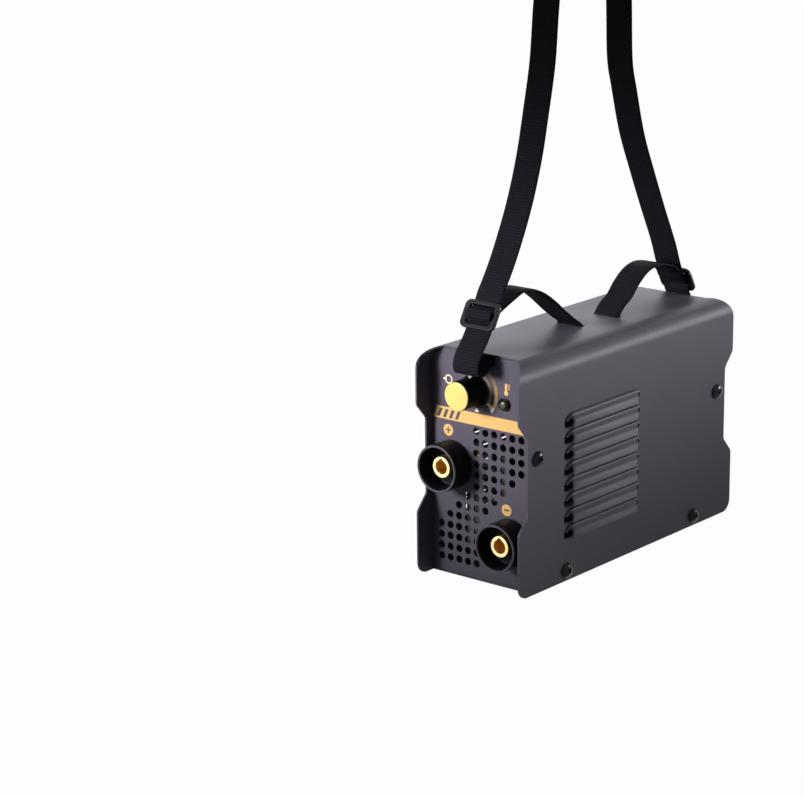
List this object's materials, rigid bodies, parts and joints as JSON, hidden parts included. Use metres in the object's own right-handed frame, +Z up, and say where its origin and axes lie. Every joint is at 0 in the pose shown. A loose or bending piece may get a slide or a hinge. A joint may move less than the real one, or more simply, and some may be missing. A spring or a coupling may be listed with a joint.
{
  "type": "stick welding inverter",
  "caption": "Compact stick welding inverter in a folded dark metal case with louvred sides, cable sockets, a current knob, a rear rocker switch and fan, and a webbing carry strap.",
  "frame": {"origin": "centre of the base plate's underside", "axes": "+Z up, the front panel faces -Y, +X is to the right seen from the front"},
  "size_m": [0.0904, 0.2427, 0.4007],
  "materials": {
    "powder_coat": "charcoal satin powder coat",
    "black_steel": "black oxide",
    "black_plastic": "moulded black",
    "brass": "turned",
    "yellow_plastic": "moulded yellow",
    "zinc_steel": "zinc plated",
    "copper": "plain copper strip",
    "aluminium": "extruded",
    "circuit_board": "green laminate",
    "ferrite": "ferrite core",
    "winding": "taped winding",
    "capacitor_sleeve": "shrink sleeve",
    "green_lens": "clear green lens",
    "red_plastic": "moulded red",
    "webbing": "woven black webbing"
  },
  "bodies": {
    "case": {"cover": "powder_coat", "base_plate": "powder_coat", "front_panel": "powder_coat", "rear_panel": "powder_coat", "cover_screw_right_front_upper": "black_steel", "cover_screw_right_rear_upper": "black_steel", "cover_screw_right_front_lower": "black_steel", "cover_screw_right_rear_lower": "black_steel", "cover_screw_left_front_upper": "black_steel", "cover_screw_left_rear_upper": "black_steel", "cover_screw_left_front_lower": "black_steel", "cover_screw_left_rear_lower": "black_steel", "positive_socket_body": "black_plastic", "positive_contact": "brass", "positive_socket_nut": "black_plastic", "positive_output_bar": "copper", "positive_output_bolt": "zinc_steel", "negative_socket_body": "black_plastic", "negative_contact": "brass", "negative_socket_nut": "black_plastic", "negative_output_bar": "copper", "negative_output_bolt": "zinc_steel", "potentiometer_body": "zinc_steel", "potentiometer_nut": "zinc_steel", "lamp_bezel": "black_plastic", "lamp_lens": "green_lens", "control_board": "circuit_board", "main_board": "circuit_board", "standoff_front_left": "zinc_steel", "standoff_front_right": "zinc_steel", "standoff_rear_left": "zinc_steel", "standoff_rear_right": "zinc_steel", "heatsink_left": "aluminium", "heatsink_right": "aluminium", "transformer_core": "ferrite", "transformer_winding": "winding", "bus_capacitor_left": "capacitor_sleeve", "bus_capacitor_right": "capacitor_sleeve", "fan_frame": "black_plastic", "fan_screw_1": "black_steel", "fan_screw_2": "black_steel", "fan_screw_3": "black_steel", "fan_screw_4": "black_steel", "switch_frame": "black_plastic", "cable_gland": "black_plastic", "cable_gland_nut": "black_plastic", "carry_strap": "webbing", "front_buckle": "black_plastic", "rear_buckle": "black_plastic"},
    "knob": {"current_knob": "black_plastic", "knob_cap": "yellow_plastic", "potentiometer_shaft": "zinc_steel"},
    "fan": {"fan_rotor": "black_plastic"},
    "rocker": {"switch_rocker": "red_plastic"}
  },
  "joints": [
    {"name": "knob_turn", "type": "hinge", "parent": "case", "child": "knob", "pos_m": [-0.0054, -0.103, 0.1246], "axis": [0, -1, 0], "range_deg": [-140, 140]},
    {"name": "fan_spin", "type": "hinge", "parent": "case", "child": "fan", "pos_m": [0, 0.0915, 0.054], "axis": [0, 1, 0], "continuous": true},
    {"name": "rocker_tip", "type": "hinge", "parent": "case", "child": "rocker", "pos_m": [-0.016, 0.102, 0.122], "axis": [1, 0, 0], "range_deg": [0, 16]}
  ]
}
